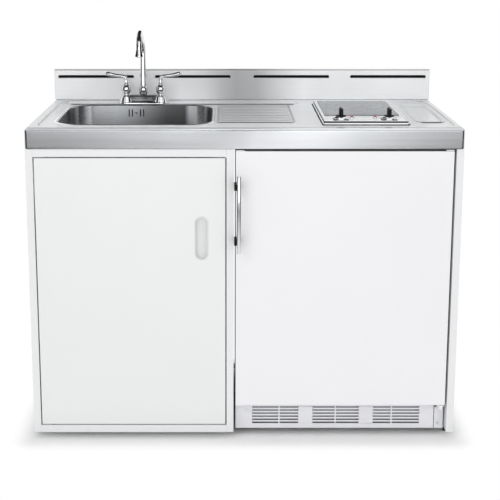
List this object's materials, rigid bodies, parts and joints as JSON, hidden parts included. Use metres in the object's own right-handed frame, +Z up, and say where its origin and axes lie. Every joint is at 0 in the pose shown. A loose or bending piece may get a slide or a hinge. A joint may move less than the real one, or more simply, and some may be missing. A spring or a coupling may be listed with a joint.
{
  "type": "kitchenette unit with sink and hob",
  "caption": "Kitchenette unit: stainless worktop with sink, tap, ribbed drainer, two-zone glass hob and vented upstand, over a door cabinet and an undercounter refrigerator.",
  "frame": {"origin": "middle of the bounding box on the floor", "axes": "+X to the right seen from the front, +Y to the back, +Z up"},
  "size_m": [1.219, 0.646, 1.153],
  "materials": {
    "worktop_steel": "fine linear brushing",
    "backsplash_steel": "fine linear brushing",
    "bowl_steel": "satin",
    "chrome": "polished",
    "white_plastic": "smooth",
    "brass": "machined",
    "hob_steel": "fine linear brushing",
    "hob_glass": "glossy black-grey ceramic glass",
    "galvanised": "galvanised",
    "heater": "mineral fibre with coil",
    "black_plastic": "satin",
    "pilot_red": "clear red lens",
    "cabinet_white": "white foil on board",
    "door_white": "white foil on board",
    "pull_white": "satin",
    "nylon": "moulded",
    "foot_rubber": "moulded",
    "fridge_white": "white enamel",
    "grille_white": "satin",
    "foam": "foamed",
    "shelf_glass": "clear",
    "clear_plastic": "clear",
    "cold_plate": "anodised",
    "compressor_black": "black enamel",
    "gasket": "soft",
    "handle_chrome": "polished",
    "screw_steel": "plated"
  },
  "bodies": {
    "unit": {"worktop": "worktop_steel", "backsplash": "backsplash_steel", "sink_bowl": "bowl_steel", "overflow_pipe": "white_plastic", "drain_body": "bowl_steel", "pipe_nuts": "brass", "tailpiece": "chrome", "trap_bend": "chrome", "trap_arm": "chrome", "faucet_base": "chrome", "spout_nut": "chrome", "valve_stems": "brass", "hob_frame": "hob_steel", "hob_glass": "hob_glass", "hob_pan": "galvanised", "heating_elements": "heater", "energy_regulators": "black_plastic", "pilot_lights": "pilot_red", "left_side": "cabinet_white", "partition": "cabinet_white", "cabinet_floor": "cabinet_white", "top_rail": "cabinet_white", "rear_rail": "cabinet_white", "back_panel": "cabinet_white", "cabinet_pivots": "galvanised", "door_catch": "black_plastic", "levelling_feet": "foot_rubber", "right_panel": "cabinet_white", "fridge_shell": "fridge_white", "fridge_foam": "foam", "fridge_liner": "white_plastic", "glass_shelves": "shelf_glass", "crisper": "clear_plastic", "cold_plate": "cold_plate", "thermostat_box": "white_plastic", "compressor": "compressor_black", "condenser": "compressor_black", "fridge_base": "galvanised", "kick_grille": "grille_white", "fridge_hinges": "fridge_white", "screws": "screw_steel"},
    "cabinet_door": {"cabinet_door": "door_white", "finger_pull": "pull_white", "door_fittings": "nylon"},
    "fridge_door": {"fridge_door_skin": "fridge_white", "fridge_door_foam": "foam", "fridge_door_liner": "white_plastic", "door_gasket": "gasket", "door_caps": "grille_white", "door_bins": "clear_plastic", "handle_bar": "handle_chrome", "handle_brackets": "black_plastic"},
    "spout": {"spout": "chrome", "aerator": "chrome"},
    "hot_lever": {"hot_lever": "chrome"},
    "cold_lever": {"cold_lever": "chrome"},
    "left_knob": {"left_knob": "black_plastic"},
    "right_knob": {"right_knob": "black_plastic"},
    "thermostat_dial": {"thermostat_dial": "white_plastic"},
    "strainer_basket": {"strainer_basket": "chrome"}
  },
  "joints": [
    {"name": "cabinet_door_hinge", "type": "hinge", "parent": "unit", "child": "cabinet_door", "pos_m": [-0.5758, -0.279, 0.4372], "axis": [0, 0, -1], "range_deg": [0, 105]},
    {"name": "fridge_door_hinge", "type": "hinge", "parent": "unit", "child": "fridge_door", "pos_m": [0.573, -0.275, 0.476], "axis": [0, 0, 1], "range_deg": [0, 110]},
    {"name": "spout_swivel", "type": "hinge", "parent": "unit", "child": "spout", "pos_m": [-0.3165, 0.243, 0.95], "axis": [0, 0, 1], "range_deg": [-110, 110]},
    {"name": "hot_lever_turn", "type": "hinge", "parent": "unit", "child": "hot_lever", "pos_m": [-0.3715, 0.243, 0.98], "axis": [0, 0, 1], "range_deg": [0, 90]},
    {"name": "cold_lever_turn", "type": "hinge", "parent": "unit", "child": "cold_lever", "pos_m": [-0.2615, 0.243, 0.98], "axis": [0, 0, -1], "range_deg": [0, 90]},
    {"name": "left_knob_turn", "type": "hinge", "parent": "unit", "child": "left_knob", "pos_m": [0.278, -0.159, 0.93], "axis": [0, 0, -1], "range_deg": [0, 270]},
    {"name": "right_knob_turn", "type": "hinge", "parent": "unit", "child": "right_knob", "pos_m": [0.416, -0.159, 0.93], "axis": [0, 0, -1], "range_deg": [0, 270]},
    {"name": "thermostat_turn", "type": "hinge", "parent": "unit", "child": "thermostat_dial", "pos_m": [0.471, -0.135, 0.7778], "axis": [0, 1, 0], "range_deg": [0, 270]},
    {"name": "strainer_lift", "type": "slide", "parent": "unit", "child": "strainer_basket", "axis": [0, 0, 1], "range_m": [0, 0.06]}
  ]
}
